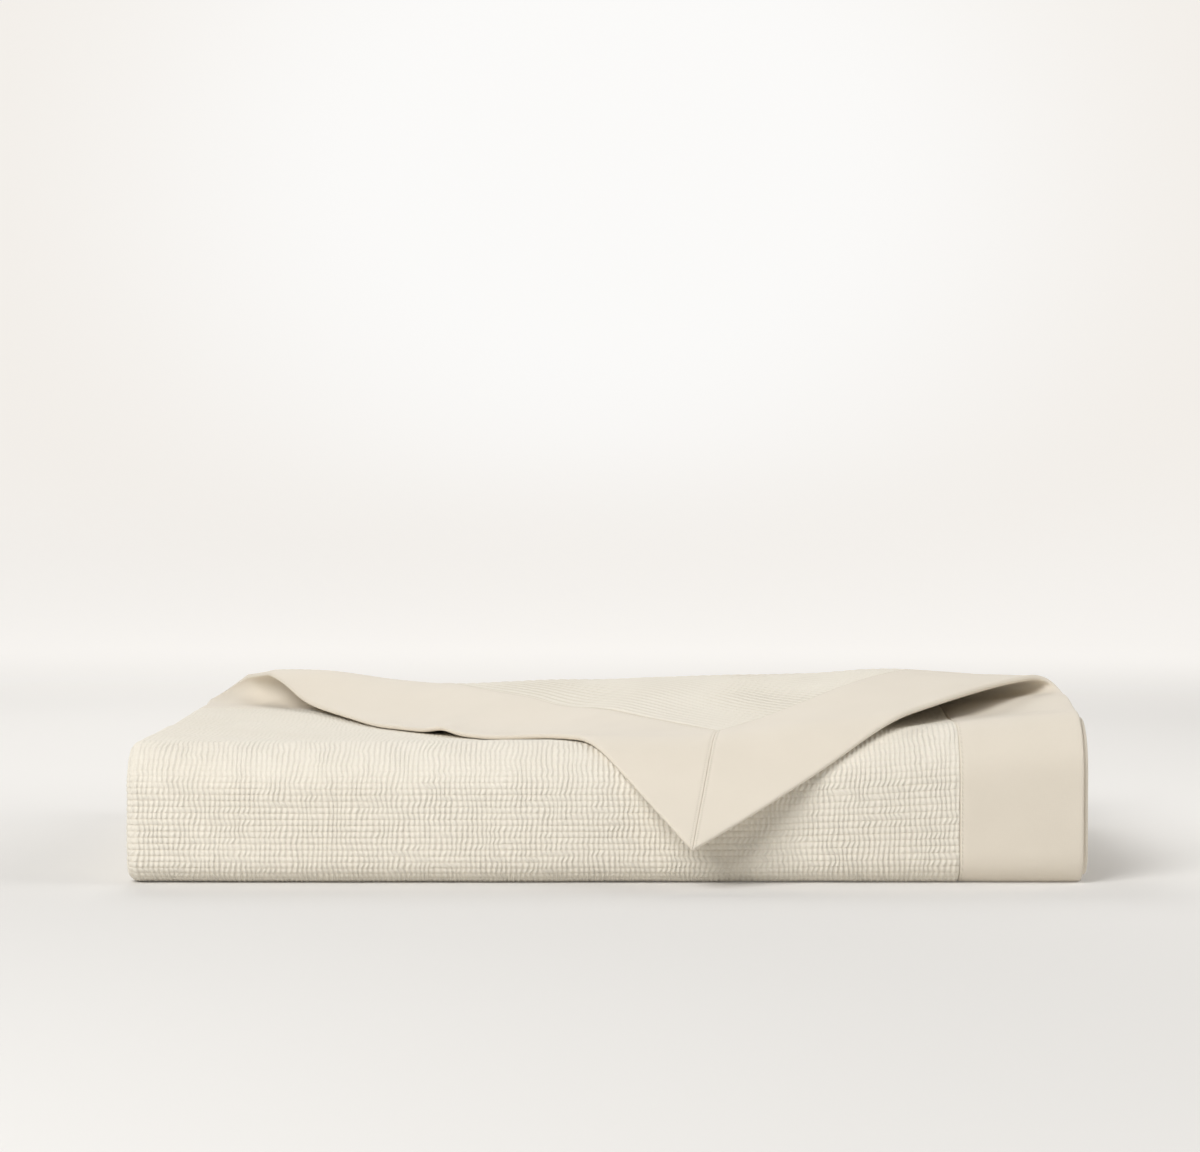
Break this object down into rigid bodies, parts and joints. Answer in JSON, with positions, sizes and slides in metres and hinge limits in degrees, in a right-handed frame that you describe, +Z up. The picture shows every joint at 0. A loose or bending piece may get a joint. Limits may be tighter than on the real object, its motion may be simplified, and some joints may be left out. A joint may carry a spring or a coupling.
{
  "type": "folded quilt",
  "caption": "Folded bed quilt with a stitched field and plain mitred borders, the top corner turned over and hanging down the front.",
  "frame": {"origin": "on the surface the quilt rests on, under the middle of its box", "axes": "+X along the long front fold towards the open hems, +Y from the front to the back, +Z up"},
  "size_m": [0.5752, 0.4262, 0.1215],
  "materials": {
    "quilted_cloth": "matt cream cotton, close rows of stitching with puckers between them",
    "border_cloth": "smooth plain cotton with a faint sheen, a little darker than the field"
  },
  "bodies": {
    "root": {"quilted_field": "quilted_cloth", "border_right": "border_cloth", "border_left": "border_cloth", "border_head": "border_cloth", "border_foot": "border_cloth"}
  },
  "joints": []
}
